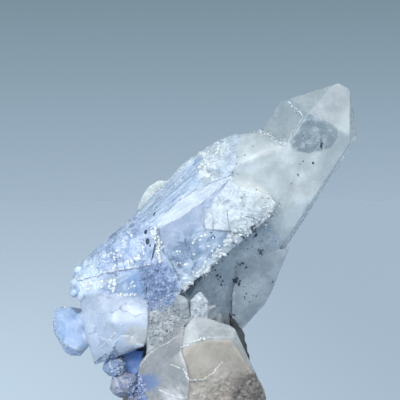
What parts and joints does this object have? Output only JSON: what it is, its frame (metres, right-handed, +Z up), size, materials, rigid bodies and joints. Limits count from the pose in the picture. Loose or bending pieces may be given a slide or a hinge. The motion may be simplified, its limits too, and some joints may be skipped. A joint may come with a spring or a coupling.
{
  "type": "dumortierite crystal",
  "caption": "Cluster of intergrown quartz points, coloured blue by dumortierite, on a foot of tan rock cut off flat, for display as a mineral specimen.",
  "frame": {"origin": "middle of the flat cut under the foot, on the surface that the specimen stands on", "axes": "+Z up, +X to the side that the main point leans to, -Y towards the viewer"},
  "size_m": [0.0486, 0.033, 0.0605],
  "materials": {
    "milky_quartz": "glossy",
    "clear_quartz": "glossy",
    "blue_quartz": "glossy",
    "deep_blue": "satin",
    "tan_rock": "satin"
  },
  "bodies": {
    "root": {"quartz_cluster": "milky_quartz"}
  },
  "joints": []
}
